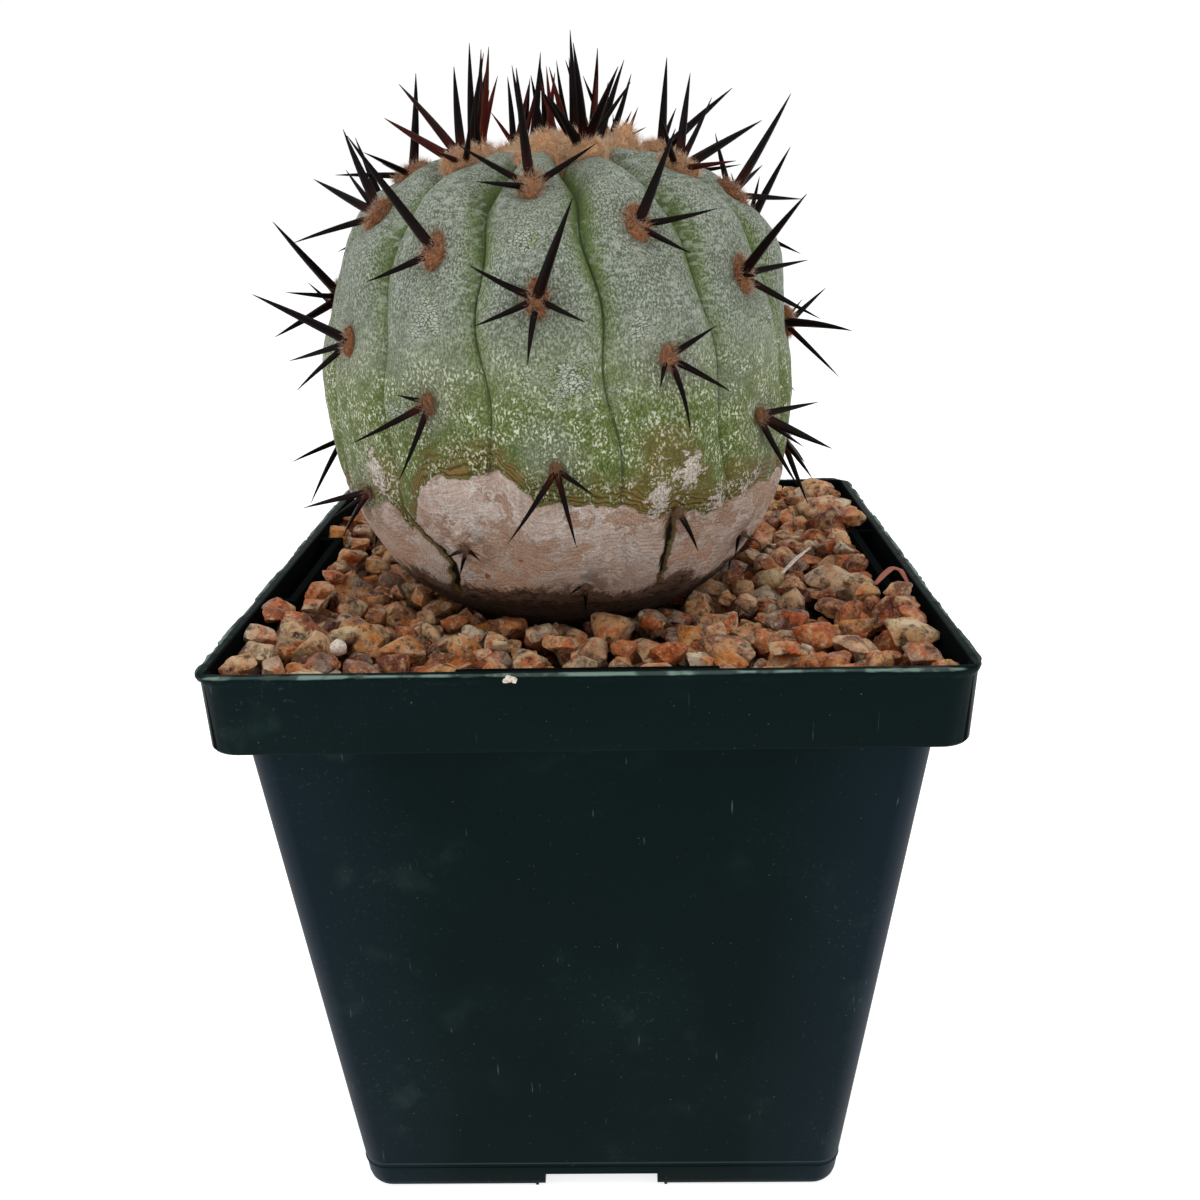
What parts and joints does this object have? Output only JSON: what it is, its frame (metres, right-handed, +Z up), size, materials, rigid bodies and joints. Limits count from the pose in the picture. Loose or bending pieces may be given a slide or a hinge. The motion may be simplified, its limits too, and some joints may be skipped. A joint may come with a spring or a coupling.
{
  "type": "potted round cactus",
  "caption": "Globe-shaped ribbed desert cactus with dark spines and a woolly crown, grown in a square tapered nursery pot topped with gravel.",
  "frame": {"origin": "middle of the pot's underside, on the plane it stands on", "axes": "+Z up, -Y to the front, +X to the viewer's right"},
  "size_m": [0.108, 0.108, 0.1856],
  "materials": {
    "pot_plastic": "satin, lightly dusted and scuffed",
    "potting_mix": "rough, damp",
    "gravel": "rough, dry",
    "cactus_skin": "waxy bloom above, corky below",
    "crown_wool": "felted wool"
  },
  "bodies": {
    "root": {"pot": "pot_plastic", "potting_mix": "potting_mix", "gravel": "gravel", "cactus": "cactus_skin", "crown_wool": "crown_wool"}
  },
  "joints": []
}
